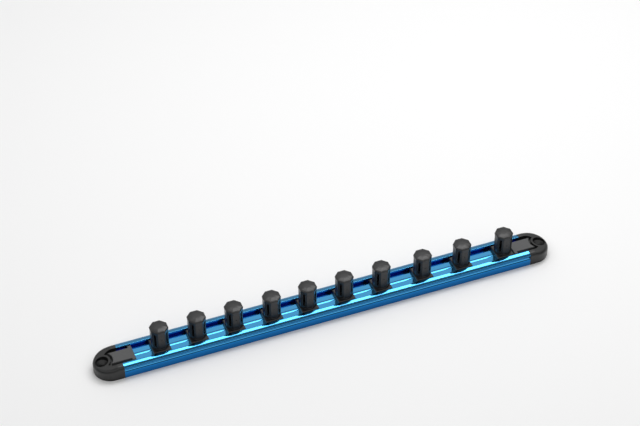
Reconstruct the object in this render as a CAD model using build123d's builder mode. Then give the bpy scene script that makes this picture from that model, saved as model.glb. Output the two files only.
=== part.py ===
# Socket rail: an aluminium channel with ten sliding posts for half-inch sockets, closed by two end caps.
# X runs along the rail, the front faces -Y, and Z is up from the surface that the rail lies on.
import os
from math import asin, cos, pi, radians, sin, sqrt

from build123d import *

os.makedirs("parts", exist_ok=True)

# Rail: one anodised extrusion, cut to length
rail_length = 308.0
rail_width = 24.8
leg_thickness = 2.4
web_thickness = 1.9
floor_height = 7.4
undercut_leg = 2.6
undercut_height = 1.8
lip_thickness = 1.25
lip_reach = 4.6
lip_inset = 0.1
lip_crown_radius = 9.0
lip_shoulder_radius = 0.5
lip_shoulder_end = 120.0
lip_edge_round = 0.25
side_bead_radius = 2.2
side_bead_turn = 65.0
side_bead_height = 4.6
side_groove_inset = 1.75
floor_rib_width = 2.2
floor_rib_height = 0.2
base_edge = 0.3

# End caps: two mouldings with a screw boss and a plug that presses into the rail
cap_straight = 6.45
cap_level_length = 4.0
cap_end_drop = 2.75
cap_break_radius = 5.0
cap_edge_round = 2.6
cap_recess_straight = 3.8
screw_from_end = 6.25
ring_radius = 6.0
screw_head_radius = 4.6
screw_sink_height = 6.0
screw_sink_angle = 90.0
screw_hole_radius = 2.25
screw_boss_radius = 5.0
cap_wall = 2.2
cap_floor_thickness = 3.0
plug_length = 9.0
plug_clearance = 0.1
plug_edge = 0.8
cap_base_edge = 0.3

# Stop plates: T-shaped, lying in the slot across the seam between rail and cap
plate_drop = 0.35
plate_reach = 10.2
plate_ear_length = 2.6
plate_side_gap = 1.0
plate_ear_reach = 1.6
plate_ring_gap = 1.7
plate_peg_radius = 1.6
plate_peg_length = 2.2
plate_peg_clearance = 0.1
plate_edge = 0.3

# Posts: a shoe that slides in the slot, and a slotted stud that snaps into it and turns a quarter turn
post_place_shares = (-0.9072, -0.7101, -0.513, -0.3091, -0.1131, 0.0889, 0.2957, 0.5286, 0.754, 0.9957)
shoe_length = 12.6
shoe_side_gap = 1.0
shoe_drop = 0.35
shoe_edge = 0.4
collar_height = 1.3
collar_inset = 0.45
collar_slope = 0.4
slide_clearance = 0.1
side_clearance = 0.2
lip_clearance = 0.15
rib_clearance = 0.2

stud_head_flats = 12.5
stud_shaft_length = 15.25
stud_head_flare = 3.0
stud_dome_height = 1.5
stud_head_overhang = 0.3
stud_corner_round = 0.5
stud_foot_edge = 0.3
stud_slot_width = 1.7
stud_slot_foot = 1.9
stud_slot_head = 2.15
stud_core_radius = 2.6
detent_radius = 0.7
detent_rise = 0.25
detent_sink = 0.5
journal_radius = 3.6
journal_clearance = 0.1
rim_radius = 4.3
rim_height = 0.7
rim_floor_gap = 0.2
rim_clearance = 0.1
stud_turn = 90.0
stop_key_radius = 5.2
stop_key_angle = 24.0
stop_play_angle = 1.0
cut_overrun = 2.0

half_length = rail_length / 2
half_width = rail_width / 2
web_underside = floor_height - web_thickness
lip_underside = floor_height + undercut_height
lip_height = lip_underside + lip_thickness
leg_inner = half_width - leg_thickness
lip_gap = rail_width - 2 * lip_reach
undercut_width = rail_width - 2 * undercut_leg
octagon = 8
octagon_turn = 360 / octagon / 2


# Rail section, drawn as its right half and mirrored. The lip slopes out from its inner edge on a large
# radius, and a small shoulder turns it down into the groove. A low crowned rib runs along the floor.
lip_half = lip_gap / 2
lip_outer = half_width - lip_inset
shoulder_x = lip_outer - lip_shoulder_radius
crown_turn = asin((shoulder_x - lip_half) / (lip_crown_radius - lip_shoulder_radius))
shoulder_drop = lip_crown_radius - (lip_crown_radius - lip_shoulder_radius) * cos(crown_turn)
shoulder_height = lip_height - shoulder_drop
shoulder_turn = radians(lip_shoulder_end)
lip_under_x = shoulder_x + lip_shoulder_radius * sin(shoulder_turn)
lip_under_height = shoulder_height + lip_shoulder_radius * cos(shoulder_turn)
bead_turn = radians(side_bead_turn)
bead_end_x = half_width - side_bead_radius * (1 - cos(bead_turn))
bead_end_height = side_bead_height + side_bead_radius * sin(bead_turn)
groove_middle = (lip_under_height + bead_end_height) / 2

with BuildPart() as rail:
    with BuildSketch(Plane.YZ.offset(-half_length)) as rail_section:
        with BuildLine():
            web_line = Line((0, web_underside), (leg_inner, web_underside))
            leg_line = Line(web_line @ 1, (leg_inner, 0))
            foot_line = Line(leg_line @ 1, (half_width - base_edge, 0))
            edge_line = Line(foot_line @ 1, (half_width, base_edge))
            wall_line = Line(edge_line @ 1, (half_width, side_bead_height))
            bead_arc = RadiusArc(wall_line @ 1, (bead_end_x, bead_end_height), -side_bead_radius)
            groove_arc = ThreePointArc(
                bead_arc @ 1,
                (half_width - side_groove_inset, groove_middle),
                (lip_under_x, lip_under_height),
            )
            shoulder_arc = ThreePointArc(
                groove_arc @ 1,
                (lip_outer, shoulder_height),
                (
                    shoulder_x + lip_shoulder_radius * sin(crown_turn),
                    shoulder_height + lip_shoulder_radius * cos(crown_turn),
                ),
            )
            crown_arc = ThreePointArc(
                shoulder_arc @ 1,
                (
                    lip_half + lip_crown_radius * sin(crown_turn / 2),
                    lip_height - lip_crown_radius * (1 - cos(crown_turn / 2)),
                ),
                (lip_half, lip_height),
            )
            lip_face = Line(crown_arc @ 1, (lip_half, lip_underside))
            lip_under = Line(lip_face @ 1, (undercut_width / 2, lip_underside))
            undercut_face = Line(lip_under @ 1, (undercut_width / 2, floor_height))
            floor_line = Line(undercut_face @ 1, (floor_rib_width / 2, floor_height))
            TangentArc((0, floor_height + floor_rib_height), floor_line @ 1, tangent=(1, 0))
            mirror(about=Plane.YZ)
        make_face()
        lip_edges = rail_section.vertices().group_by(Axis.Y)[-1]
        fillet(lip_edges, lip_edge_round)
    extrude(amount=rail_length)
rail.part.label = "rail"
export_step(rail.part, "parts/rail.step")


# End cap, drawn for the right end and mirrored for the left. Its top is level beside the rail, then slopes
# down to the round end.
round_x = half_length + cap_straight
cap_end_x = round_x + half_width
cap_end_height = lip_height - cap_end_drop
cap_core_height = floor_height - cap_floor_thickness
slope_x = half_length + cap_level_length
slope_fall = (lip_height - cap_end_height) / (cap_end_x - slope_x)
slope_foot = cap_end_height - cut_overrun * slope_fall
screw_x = cap_end_x - screw_from_end
recess_x = half_length + cap_recess_straight
peg_x = half_length + plate_peg_radius + plate_edge
plug_width = 2 * (leg_inner - plug_clearance)
plug_height = web_underside - plug_clearance

with BuildPart() as end_cap_right:
    with BuildSketch():
        with Locations((round_x, 0)):
            Circle(half_width)
        with Locations((half_length + cap_straight / 2, 0)):
            Rectangle(cap_straight, rail_width)
        with Locations((half_length - half_width / 2, 0)):
            Rectangle(half_width, rail_width, mode=Mode.SUBTRACT)
    extrude(amount=lip_height)
    # Slope of the top
    with BuildSketch(Plane.XZ):
        Polygon(
            (slope_x, lip_height),
            (cap_end_x + cut_overrun, slope_foot),
            (cap_end_x + cut_overrun, lip_height + cut_overrun),
            (slope_x, lip_height + cut_overrun),
            align=None,
        )
    extrude(amount=half_width + cut_overrun, both=True, mode=Mode.SUBTRACT)
    break_edge = end_cap_right.edges().filter_by(Axis.Y).sort_by(Axis.X)[-1]
    fillet(break_edge, cap_break_radius)
    # Rounded outline of the top, and the chamfered one of the base
    top_faces = end_cap_right.faces().filter_by(lambda face: face.normal_at().Z > 0)
    fillet(top_faces.edges().filter_by(Axis.Y, reverse=True), cap_edge_round)
    base_face = end_cap_right.faces().sort_by(Axis.Z)[0]
    chamfer(base_face.edges().filter_by(Axis.Y, reverse=True), cap_base_edge)
    # Recess that carries the slot on into the cap, round the wall of the screw hole
    with BuildSketch(Plane.XY.offset(floor_height)):
        with Locations((half_length + cap_recess_straight / 2, 0)):
            Rectangle(cap_recess_straight, lip_gap)
        with Locations((recess_x, 0)):
            Circle(lip_half)
        with Locations((half_length - lip_half, 0)):
            Rectangle(lip_gap, lip_gap, mode=Mode.SUBTRACT)
        with Locations((screw_x, 0)):
            Circle(ring_radius, mode=Mode.SUBTRACT)
    extrude(amount=lip_height - floor_height + cut_overrun, mode=Mode.SUBTRACT)
    # Countersunk screw hole
    with Locations((screw_x, 0, screw_sink_height)):
        CounterSinkHole(screw_hole_radius, screw_head_radius, counter_sink_angle=screw_sink_angle)
    # Hollow under the cap, with a boss left round the screw
    with BuildSketch():
        with Locations((half_length + cap_straight / 2 + cap_wall / 2, 0)):
            Rectangle(cap_straight - cap_wall, rail_width - 2 * cap_wall)
        with Locations((round_x, 0)):
            Circle(half_width - cap_wall)
        with Locations((half_length + cap_wall - half_width / 2, 0)):
            Rectangle(half_width, rail_width, mode=Mode.SUBTRACT)
        with Locations((screw_x, 0)):
            Circle(screw_boss_radius, mode=Mode.SUBTRACT)
    extrude(amount=cap_core_height, mode=Mode.SUBTRACT)
    # Hole for the peg of the stop plate
    with Locations((peg_x, 0, floor_height)):
        Hole(plate_peg_radius + plate_peg_clearance, depth=plate_peg_length + plate_peg_clearance)
    # Plug under the web of the rail
    with BuildSketch(Plane.YZ.offset(half_length - plug_length)):
        with Locations((0, plug_height / 2)):
            Rectangle(plug_width, plug_height)
    extrude(amount=plug_length)
    plug_end = end_cap_right.faces().sort_by(Axis.X)[0]
    chamfer(plug_end.edges().filter_by(Axis.Y), plug_edge)
end_cap_right.part.label = "end_cap_right"
export_step(end_cap_right.part, "parts/end_cap_right.step")

with BuildPart() as end_cap_left:
    add(end_cap_right.part.mirror(Plane.YZ))
end_cap_left.part.label = "end_cap_left"
export_step(end_cap_left.part, "parts/end_cap_left.step")


# Stop plate, drawn for the right end and mirrored for the left
plate_start = half_length - plate_reach
plate_bottom = floor_height + slide_clearance
plate_top = lip_height - plate_drop
flange_top = lip_underside - lip_clearance
flange_width = undercut_width - 2 * side_clearance
plate_ear_width = lip_gap - 2 * plate_side_gap
plate_neck_width = plate_ear_width - 2 * plate_ear_reach
plate_end_radius = ring_radius + plate_ring_gap
plate_end = screw_x - sqrt(plate_end_radius**2 - (plate_neck_width / 2) ** 2)
rib_relief_width = floor_rib_width + 2 * rib_clearance
rib_relief_height = floor_rib_height + rib_clearance

with BuildPart() as stop_plate_right:
    with BuildSketch(Plane.XY.offset(plate_bottom)):
        with Locations((plate_start + plate_ear_length / 2, 0)):
            Rectangle(plate_ear_length, plate_ear_width)
        with Locations(((plate_start + plate_end) / 2, 0)):
            Rectangle(plate_end - plate_start, plate_neck_width)
        with Locations((screw_x, 0)):
            Circle(plate_end_radius, mode=Mode.SUBTRACT)
    extrude(amount=plate_top - plate_bottom)
    chamfer(stop_plate_right.faces().sort_by(Axis.Z)[-1].edges(), plate_edge)
    # Flange that runs under the lips of the rail
    with BuildSketch(Plane.XY.offset(plate_bottom)):
        with Locations((plate_start + plate_ear_length / 2, 0)):
            Rectangle(plate_ear_length, flange_width)
    extrude(amount=flange_top - plate_bottom)
    # Peg that drops into the cap
    with BuildSketch(Plane.XY.offset(plate_bottom)):
        with Locations((peg_x, 0)):
            Circle(plate_peg_radius)
    extrude(amount=-plate_peg_length)
    # Relief over the rib in the floor of the rail
    with BuildSketch(Plane.YZ.offset(plate_start - cut_overrun)):
        with Locations((0, floor_height + rib_relief_height / 2)):
            Rectangle(rib_relief_width, rib_relief_height)
    extrude(amount=plate_reach + cut_overrun, mode=Mode.SUBTRACT)
stop_plate_right.part.label = "stop_plate_right"
export_step(stop_plate_right.part, "parts/stop_plate_right.step")

with BuildPart() as stop_plate_left:
    add(stop_plate_right.part.mirror(Plane.YZ))
stop_plate_left.part.label = "stop_plate_left"
export_step(stop_plate_left.part, "parts/stop_plate_left.step")


# Shoe at the middle of the rail: flanges under the lips, a block between them and a round collar on top
shoe_bottom = floor_height + slide_clearance
shoe_top = lip_height - shoe_drop
shoe_block_width = lip_gap - 2 * shoe_side_gap
collar_radius = shoe_block_width / 2 - collar_inset
collar_top = shoe_top + collar_height
rim_bottom = floor_height + floor_rib_height + rim_floor_gap
rim_top = rim_bottom + rim_height
pocket_top = rim_top + rim_clearance
stop_pocket_radius = stop_key_radius + rim_clearance
stop_pocket_angle = stud_turn + stop_key_angle + 2 * stop_play_angle

with BuildPart() as shoe:
    with BuildSketch(Plane.XY.offset(shoe_bottom)):
        Rectangle(shoe_length, shoe_block_width)
    extrude(amount=shoe_top - shoe_bottom)
    chamfer(shoe.faces().sort_by(Axis.Z)[-1].edges(), shoe_edge)
    with BuildSketch(Plane.XY.offset(shoe_bottom)):
        Rectangle(shoe_length, flange_width)
    extrude(amount=flange_top - shoe_bottom)
    # Collar that carries the stud
    with BuildSketch(Plane.XY.offset(shoe_top)):
        Circle(collar_radius)
    with BuildSketch(Plane.XY.offset(collar_top)):
        Circle(collar_radius - collar_slope)
    loft()
    # Bore for the journal of the stud
    with BuildSketch(Plane.XY.offset(shoe_bottom)):
        Circle(journal_radius + journal_clearance)
    extrude(amount=collar_top - shoe_bottom + cut_overrun, mode=Mode.SUBTRACT)
    # Pocket under the bore for the rim of the stud, widened into a sector where its stop key swings
    with BuildSketch(Plane.XY.offset(shoe_bottom)):
        Circle(rim_radius + rim_clearance)
        with BuildLine():
            pocket_arc = CenterArc((0, 0), stop_pocket_radius, -stop_play_angle, stop_pocket_angle)
            Line((0, 0), pocket_arc @ 0)
            Line(pocket_arc @ 1, (0, 0))
        make_face()
    extrude(amount=pocket_top - shoe_bottom, mode=Mode.SUBTRACT)
    # Relief over the rib in the floor of the rail
    with BuildSketch(Plane.YZ.offset(-shoe_length / 2 - cut_overrun)):
        with Locations((0, floor_height + rib_relief_height / 2)):
            Rectangle(rib_relief_width, rib_relief_height)
    extrude(amount=shoe_length + 2 * cut_overrun, mode=Mode.SUBTRACT)


# Stud at the middle of the rail: an octagonal shaft with four slots, a slightly wider head with a low dome,
# and a journal with a snap rim and a stop key below
shaft_flats = stud_head_flats - 2 * stud_head_overhang
shaft_bottom = collar_top + rim_clearance
stud_head_base = shaft_bottom + stud_shaft_length
stud_slot_bottom = shaft_bottom + stud_slot_foot
stud_slot_top = stud_head_base - stud_slot_head
head_corner = stud_head_flats / 2 / cos(pi / octagon)
shaft_corner = shaft_flats / 2 / cos(pi / octagon)
flare_start = stud_head_base - stud_head_flare
dome_height_shares = (0.0, 0.233, 0.433, 0.7, 0.93, 1.0)
dome_corner_shares = (1.0, 0.97, 0.9, 0.7, 0.45, 0.2)
detent_height = (stud_slot_bottom + stud_slot_top) / 2
detent_tip_radius = detent_radius - detent_rise

with BuildPart() as stud:
    with BuildSketch(Plane.XY.offset(shaft_bottom)) as shaft_section:
        RegularPolygon(shaft_corner, octagon, rotation=octagon_turn)
        fillet(shaft_section.vertices(), stud_corner_round)
    extrude(amount=flare_start - shaft_bottom)
    chamfer(stud.faces().sort_by(Axis.Z)[0].edges(), stud_foot_edge)
    # The shaft widens a little up to the head
    for height, corner in ((flare_start, shaft_corner), (stud_head_base, head_corner)):
        with BuildSketch(Plane.XY.offset(height)) as flare_section:
            RegularPolygon(corner, octagon, rotation=octagon_turn)
            fillet(flare_section.vertices(), stud_corner_round)
    loft()
    # Domed head, eight curved facets that close in towards the top
    for height_share, corner_share in zip(dome_height_shares, dome_corner_shares):
        with BuildSketch(Plane.XY.offset(stud_head_base + stud_dome_height * height_share)) as dome_section:
            RegularPolygon(head_corner * corner_share, octagon, rotation=octagon_turn)
            fillet(dome_section.vertices(), stud_corner_round * corner_share)
    loft()
    # Journal, with the rim that snaps under the shoe and the key that stops the turn
    with BuildSketch(Plane.XY.offset(rim_bottom)):
        Circle(journal_radius)
    extrude(amount=shaft_bottom - rim_bottom)
    with BuildSketch(Plane.XY.offset(rim_bottom)):
        Circle(rim_radius)
        with BuildLine():
            key_arc = CenterArc((0, 0), stop_key_radius, 0, stop_key_angle)
            Line((0, 0), key_arc @ 0)
            Line(key_arc @ 1, (0, 0))
        make_face()
    extrude(amount=rim_height)
    # Hollow core, open below, and the slots that part the shaft into four leaves
    with BuildSketch(Plane.XY.offset(rim_bottom)):
        Circle(stud_core_radius)
    extrude(amount=stud_slot_top - rim_bottom, mode=Mode.SUBTRACT)
    with BuildSketch(Plane.XY.offset(stud_slot_bottom)):
        with Locations(Rotation(0, 0, 360 / octagon), Rotation(0, 0, -360 / octagon)):
            Rectangle(2 * head_corner, stud_slot_width)
    extrude(amount=stud_slot_top - stud_slot_bottom, mode=Mode.SUBTRACT)
    # Detent on each of the four leaves, which catches in the socket
    for leaf_plane in (Plane.XZ, Plane.YZ):
        for side in (-1, 1):
            face_plane = leaf_plane.offset(side * (shaft_flats / 2 - detent_sink))
            tip_plane = leaf_plane.offset(side * (shaft_flats / 2 + detent_rise))
            with BuildSketch(face_plane):
                with Locations((0, detent_height)):
                    Circle(detent_radius)
            with BuildSketch(tip_plane):
                with Locations((0, detent_height)):
                    Circle(detent_tip_radius)
            loft()


# The ten posts, each a copy of the shoe and of the stud at its own place. The places are shares of the
# free run from the middle of the rail to where the last shoe would meet a stop plate.
free_run = half_length - plate_reach - shoe_length / 2

for number, place_share in enumerate(post_place_shares, start=1):
    post_x = free_run * place_share
    with BuildPart() as post_shoe:
        add(shoe.part.moved(Location((post_x, 0, 0))))
    post_shoe.part.label = f"shoe_{number}"
    export_step(post_shoe.part, f"parts/shoe_{number}.step")
    with BuildPart() as post_stud:
        add(stud.part.moved(Location((post_x, 0, 0))))
    post_stud.part.label = f"stud_{number}"
    export_step(post_stud.part, f"parts/stud_{number}.step")
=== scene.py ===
# Socket rail: a blue anodised rail with ten black posts for half-inch sockets, on a pale floor.
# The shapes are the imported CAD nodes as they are, and this script gives them their looks.
# Sizes are in metres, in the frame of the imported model: X along the rail, front -Y, Z up.
import math

import bpy
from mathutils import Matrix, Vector

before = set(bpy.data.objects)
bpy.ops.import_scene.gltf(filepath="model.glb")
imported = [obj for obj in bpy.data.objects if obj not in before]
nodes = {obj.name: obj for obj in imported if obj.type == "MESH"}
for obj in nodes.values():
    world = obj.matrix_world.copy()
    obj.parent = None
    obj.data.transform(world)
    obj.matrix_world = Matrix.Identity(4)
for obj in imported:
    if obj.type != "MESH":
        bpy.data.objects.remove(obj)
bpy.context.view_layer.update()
post_numbers = range(1, 1 + sum(name.startswith("stud_") for name in nodes))


# Rail: one drawn and blue anodised aluminium extrusion, sawn to length.
# The die leaves fine straight lines along it. Its upright faces get a darker, deeper blue,
# painted shade, and a thinner clear coat than those that face up.
RAIL_BLUE = (0.022, 0.285, 0.57, 1.0)
RAIL_DEEP_BLUE = (0.017, 0.255, 0.52, 1.0)
# Painted shade: the darker blue given to the rail's upright faces.
PAINTED_SHADE_SIDE_BLUE = (0.006, 0.165, 0.47, 1.0)
RAIL_ROUGHNESS = (0.07, 0.15)
UPRIGHT_COAT = 0.15
UPWARD_COAT = 0.9
COAT_ROUGHNESS = 0.1
UPRIGHT_NORMAL_Z = 0.3
UPWARD_NORMAL_Z = 0.8
DIE_LINES_ACROSS = 2600.0
DIE_LINES_ALONG = 9.0
DIE_LINES_DETAIL = 3.0
DIE_LINES_DEPTH = 0.000006
DYE_CLOUD_SCALE = 38.0
DYE_CLOUD_DETAIL = 2.0


def new_group(name, inputs, outputs):
    """An empty shader node group with float inputs, given as name to value, and named outputs."""
    group = bpy.data.node_groups.new(name, "ShaderNodeTree")
    for label, value in inputs.items():
        socket = group.interface.new_socket(
            label, in_out="INPUT", socket_type="NodeSocketFloat"
        )
        socket.default_value = value
    for label in outputs:
        group.interface.new_socket(label, in_out="OUTPUT", socket_type="NodeSocketFloat")
    return group, group.nodes.new("NodeGroupInput"), group.nodes.new("NodeGroupOutput")


def die_lines_group():
    """Straight drawn lines along X: one mask for the height and one slow mask for the cloudy tone
    of the anodising.
    """
    inputs = {"Across": DIE_LINES_ACROSS, "Along": DIE_LINES_ALONG}
    group, given, out = new_group("die_lines", inputs, ("Lines", "Cloud"))
    place = group.nodes.new("ShaderNodeTexCoord")
    stretch = group.nodes.new("ShaderNodeCombineXYZ")
    for axis, label in (("X", "Along"), ("Y", "Across"), ("Z", "Across")):
        group.links.new(given.outputs[label], stretch.inputs[axis])
    scaled = group.nodes.new("ShaderNodeVectorMath")
    scaled.operation = "MULTIPLY"
    group.links.new(place.outputs["Object"], scaled.inputs[0])
    group.links.new(stretch.outputs["Vector"], scaled.inputs[1])
    lines = group.nodes.new("ShaderNodeTexNoise")
    lines.inputs["Scale"].default_value = 1.0
    lines.inputs["Detail"].default_value = DIE_LINES_DETAIL
    group.links.new(scaled.outputs["Vector"], lines.inputs["Vector"])
    cloud = group.nodes.new("ShaderNodeTexNoise")
    cloud.inputs["Scale"].default_value = DYE_CLOUD_SCALE
    cloud.inputs["Detail"].default_value = DYE_CLOUD_DETAIL
    group.links.new(place.outputs["Object"], cloud.inputs["Vector"])
    group.links.new(lines.outputs["Fac"], out.inputs["Lines"])
    group.links.new(cloud.outputs["Fac"], out.inputs["Cloud"])
    return group


def new_material(name):
    """A node material with its Principled shader."""
    material = bpy.data.materials.new(name)
    material.use_nodes = True
    return material, material.node_tree, material.node_tree.nodes["Principled BSDF"]


def add_group(tree, group, **values):
    """The group placed in a material, with its own values."""
    node = tree.nodes.new("ShaderNodeGroup")
    node.node_tree = group
    for label, value in values.items():
        node.inputs[label].default_value = value
    return node


def map_range(tree, value, start, end, low, high):
    """A value that goes from low to high, and no further, as the given one goes start to end."""
    node = tree.nodes.new("ShaderNodeMapRange")
    node.inputs["From Min"].default_value = start
    node.inputs["From Max"].default_value = end
    node.inputs["To Min"].default_value = low
    node.inputs["To Max"].default_value = high
    tree.links.new(value, node.inputs["Value"])
    return node.outputs["Result"]


def blend_colours(tree, fac, first, second):
    """Two colours mixed by a mask; each is a socket or a colour."""
    node = tree.nodes.new("ShaderNodeMix")
    node.data_type = "RGBA"
    colour_sockets = [socket for socket in node.inputs if socket.type == "RGBA"]
    for socket, colour in zip(colour_sockets, (first, second)):
        if isinstance(colour, bpy.types.NodeSocket):
            tree.links.new(colour, socket)
        else:
            socket.default_value = colour
    tree.links.new(fac, node.inputs["Factor"])
    return next(socket for socket in node.outputs if socket.type == "RGBA")


def facing_up(tree):
    """A mask that is 1 on surfaces that face up and 0 on upright ones."""
    place = tree.nodes.new("ShaderNodeTexCoord")
    parts = tree.nodes.new("ShaderNodeSeparateXYZ")
    tree.links.new(place.outputs["Normal"], parts.inputs["Vector"])
    return map_range(tree, parts.outputs["Z"], UPRIGHT_NORMAL_Z, UPWARD_NORMAL_Z, 0.0, 1.0)


def add_bump(tree, shader, height, depth):
    """A bump of a given depth, in metres, on the shader's normal."""
    node = tree.nodes.new("ShaderNodeBump")
    node.inputs["Strength"].default_value = 1.0
    node.inputs["Distance"].default_value = depth
    tree.links.new(height, node.inputs["Height"])
    tree.links.new(node.outputs["Normal"], shader.inputs["Normal"])


def dress(node_name, material):
    """Puts a material on a CAD node."""
    slots = nodes[node_name].data.materials
    slots.clear()
    slots.append(material)


anodised, tree, shader = new_material("blue_anodised_aluminium")
lines = add_group(tree, die_lines_group(), Across=DIE_LINES_ACROSS, Along=DIE_LINES_ALONG)
channel_dye = blend_colours(tree, lines.outputs["Cloud"], RAIL_DEEP_BLUE, RAIL_BLUE)
upward = facing_up(tree)
# Upright faces take the darker blue as painted shade; faces that face up keep the cloudy tone.
dye_and_painted_shade = blend_colours(tree, upward, PAINTED_SHADE_SIDE_BLUE, channel_dye)
roughness = map_range(tree, lines.outputs["Lines"], 0.0, 1.0, *RAIL_ROUGHNESS)
coat = map_range(tree, upward, 0.0, 1.0, UPRIGHT_COAT, UPWARD_COAT)
tree.links.new(dye_and_painted_shade, shader.inputs["Base Color"])
tree.links.new(roughness, shader.inputs["Roughness"])
tree.links.new(coat, shader.inputs["Coat Weight"])
add_bump(tree, shader, lines.outputs["Lines"], DIE_LINES_DEPTH)
shader.inputs["Metallic"].default_value = 1.0
shader.inputs["Coat Roughness"].default_value = COAT_ROUGHNESS
dress("rail", anodised)


# End caps: glass-filled nylon mouldings, matte black, pressed into the rail's ends.
# The mould's fine spark texture breaks up their shine.
CAP_BLACK = (0.006, 0.0062, 0.0064, 1.0)
CAP_GREY = (0.011, 0.0112, 0.0114, 1.0)
CAP_ROUGHNESS = (0.31, 0.42)
CAP_GRAIN_DEPTH = 0.00002
CAP_GRAIN_FINENESS = 4200.0
GRAIN_DETAIL = 2.5
SHINE_PATCHES = 60.0


def moulded_grain_group():
    """The spark texture of a mould, and the slow unevenness of the plastic's shine."""
    inputs = {"Fineness": CAP_GRAIN_FINENESS, "Patches": SHINE_PATCHES}
    group, given, out = new_group("moulded_grain", inputs, ("Grain", "Shine"))
    place = group.nodes.new("ShaderNodeTexCoord")
    for label, scale in (("Grain", "Fineness"), ("Shine", "Patches")):
        noise = group.nodes.new("ShaderNodeTexNoise")
        noise.inputs["Detail"].default_value = GRAIN_DETAIL
        group.links.new(place.outputs["Object"], noise.inputs["Vector"])
        group.links.new(given.outputs[scale], noise.inputs["Scale"])
        group.links.new(noise.outputs["Fac"], out.inputs[label])
    return group


moulded_grain = moulded_grain_group()


def plastic(name, dark, light, roughness_span, grain_depth, fineness):
    """A moulded plastic: two near shades, uneven shine and the mould's texture."""
    material, tree, shader = new_material(name)
    grain = add_group(tree, moulded_grain, Fineness=fineness)
    shade = blend_colours(tree, grain.outputs["Shine"], dark, light)
    roughness = map_range(tree, grain.outputs["Shine"], 0.0, 1.0, *roughness_span)
    tree.links.new(shade, shader.inputs["Base Color"])
    tree.links.new(roughness, shader.inputs["Roughness"])
    add_bump(tree, shader, grain.outputs["Grain"], grain_depth)
    return material


cap_plastic = plastic(
    "cap_nylon", CAP_BLACK, CAP_GREY, CAP_ROUGHNESS, CAP_GRAIN_DEPTH, CAP_GRAIN_FINENESS
)
for side in ("left", "right"):
    dress(f"end_cap_{side}", cap_plastic)


# Stop plates: small T-shaped mouldings of smoother, greyer plastic.
# Each lies in the slot over the seam and holds the posts in.
PLATE_DARK = (0.044, 0.045, 0.046, 1.0)
PLATE_LIGHT = (0.07, 0.071, 0.073, 1.0)
PLATE_ROUGHNESS = (0.36, 0.5)
PLATE_GRAIN_DEPTH = 0.00002
PLATE_GRAIN_FINENESS = 3600.0
plate_plastic = plastic(
    "plate_nylon",
    PLATE_DARK,
    PLATE_LIGHT,
    PLATE_ROUGHNESS,
    PLATE_GRAIN_DEPTH,
    PLATE_GRAIN_FINENESS,
)
for side in ("left", "right"):
    dress(f"stop_plate_{side}", plate_plastic)


# Posts: a square shoe that slides in the slot and a slotted octagonal stud with a domed head.
# Both are moulded in satin black acetal.
POST_BLACK = (0.010, 0.010, 0.0107, 1.0)
POST_GREY = (0.018, 0.018, 0.019, 1.0)
POST_ROUGHNESS = (0.3, 0.42)
POST_GRAIN_DEPTH = 0.000015
POST_GRAIN_FINENESS = 4800.0
post_plastic = plastic(
    "post_acetal",
    POST_BLACK,
    POST_GREY,
    POST_ROUGHNESS,
    POST_GRAIN_DEPTH,
    POST_GRAIN_FINENESS,
)
for number in post_numbers:
    dress(f"shoe_{number}", post_plastic)
    dress(f"stud_{number}", post_plastic)


# Floor: a plain pale surface, wide enough to fill the view.
# It is staging and no piece of the object, and it takes the object's shadow.
FLOOR_HALF = 6.0
FLOOR_COLOUR = (0.9, 0.9, 0.9, 1.0)
FLOOR_ROUGHNESS = 0.9
FLOOR_SHINE = 0.1
FLOOR_CORNERS = ((-1, -1), (1, -1), (1, 1), (-1, 1))
floor_mesh = bpy.data.meshes.new("floor")
floor_points = [(x * FLOOR_HALF, y * FLOOR_HALF, 0.0) for x, y in FLOOR_CORNERS]
floor_mesh.from_pydata(floor_points, [], [(0, 1, 2, 3)])
floor = bpy.data.objects.new("floor", floor_mesh)
bpy.context.scene.collection.objects.link(floor)
floor_paint, tree, shader = new_material("pale_floor")
shader.inputs["Base Color"].default_value = FLOOR_COLOUR
shader.inputs["Roughness"].default_value = FLOOR_ROUGHNESS
shader.inputs["Specular IOR Level"].default_value = FLOOR_SHINE
floor_mesh.materials.append(floor_paint)


# Light: a soft box above the rail, a little behind it and to the right, in a studio with a
# pale rear wall and a band of sloping ceiling all round, brighter in front than at the rear.
# The bands below are in the parts of a unit direction: Y towards the rear, Z up.
SOFT_BOX_LEAN_BACK = math.radians(17.0)
SOFT_BOX_LEAN_RIGHT = math.radians(16.0)
SOFT_BOX_DISTANCE = 0.9
SOFT_BOX_WIDTH = 0.75
SOFT_BOX_DEPTH = 0.31
SOFT_BOX_POWER = 3.7
FRONT_LIGHT = 0.15
REAR_WALL_LIGHT = 0.35
FRONT_CEILING_LIGHT = 1.15
REAR_CEILING_LIGHT = 0.5
WALL_BAND_Y = (-0.1, 0.4)
CEILING_BAND_Y = (-0.3, 0.3)
CEILING_FOOT_Z = (0.45, 0.62)
CEILING_HEAD_Z = (0.8, 0.92)
STUDIO_WHITE = (1.0, 1.0, 1.0, 1.0)

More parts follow.
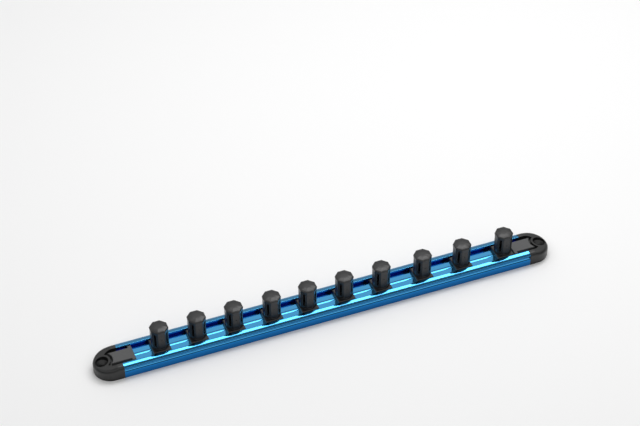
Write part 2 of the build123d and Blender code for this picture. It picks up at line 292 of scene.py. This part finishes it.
lamp = bpy.data.lights.new("soft_box", "AREA")
lamp.shape = "RECTANGLE"
lamp.size = SOFT_BOX_WIDTH
lamp.size_y = SOFT_BOX_DEPTH
lamp.energy = SOFT_BOX_POWER
soft_box = bpy.data.objects.new("soft_box", lamp)
soft_box.rotation_euler = (-SOFT_BOX_LEAN_BACK, SOFT_BOX_LEAN_RIGHT, 0.0)
soft_box.location = soft_box.rotation_euler.to_matrix() @ Vector((0.0, 0.0, SOFT_BOX_DISTANCE))
bpy.context.scene.collection.objects.link(soft_box)


def maths(tree, operation, first, second):
    """A Math node on two sockets."""
    node = tree.nodes.new("ShaderNodeMath")
    node.operation = operation
    tree.links.new(first, node.inputs[0])
    tree.links.new(second, node.inputs[1])
    return node.outputs[0]


world = bpy.data.worlds.new("studio")
world.use_nodes = True
tree = world.node_tree
direction = tree.nodes.new("ShaderNodeTexCoord")
parts = tree.nodes.new("ShaderNodeSeparateXYZ")
tree.links.new(direction.outputs["Generated"], parts.inputs["Vector"])
to_rear, to_top = parts.outputs["Y"], parts.outputs["Z"]
walls = map_range(tree, to_rear, *WALL_BAND_Y, FRONT_LIGHT, FRONT_LIGHT + REAR_WALL_LIGHT)
slopes = map_range(tree, to_rear, *CEILING_BAND_Y, FRONT_CEILING_LIGHT, REAR_CEILING_LIGHT)
slope_foot = map_range(tree, to_top, *CEILING_FOOT_Z, 0.0, 1.0)
slope_head = map_range(tree, to_top, *CEILING_HEAD_Z, 1.0, 0.0)
ceiling = maths(tree, "MULTIPLY", slopes, maths(tree, "MULTIPLY", slope_foot, slope_head))
strength = maths(tree, "ADD", walls, ceiling)
background = tree.nodes["Background"]
tree.links.new(strength, background.inputs["Strength"])
background.inputs["Color"].default_value = STUDIO_WHITE
bpy.context.scene.world = world


# Camera: placed where the photograph was taken from, in front, to the left and above.
# Its place and lens come from a fit to the rail's edges, the end caps and the stud heads.
CAMERA_PLACE = Vector((-0.34132, -0.85105, 0.90404))
CAMERA_AIM = Vector((0.03221, 0.09727, 0.0))
CAMERA_LENS = 101.49
CAMERA_CLIP_START = 0.01
camera_data = bpy.data.cameras.new("camera")
camera_data.lens = CAMERA_LENS
camera_data.clip_start = CAMERA_CLIP_START
camera = bpy.data.objects.new("camera", camera_data)
camera.location = CAMERA_PLACE
camera.rotation_euler = (CAMERA_PLACE - CAMERA_AIM).to_track_quat("Z", "Y").to_euler()
bpy.context.scene.collection.objects.link(camera)
bpy.context.scene.camera = camera
bpy.context.scene.view_settings.view_transform = "Standard"
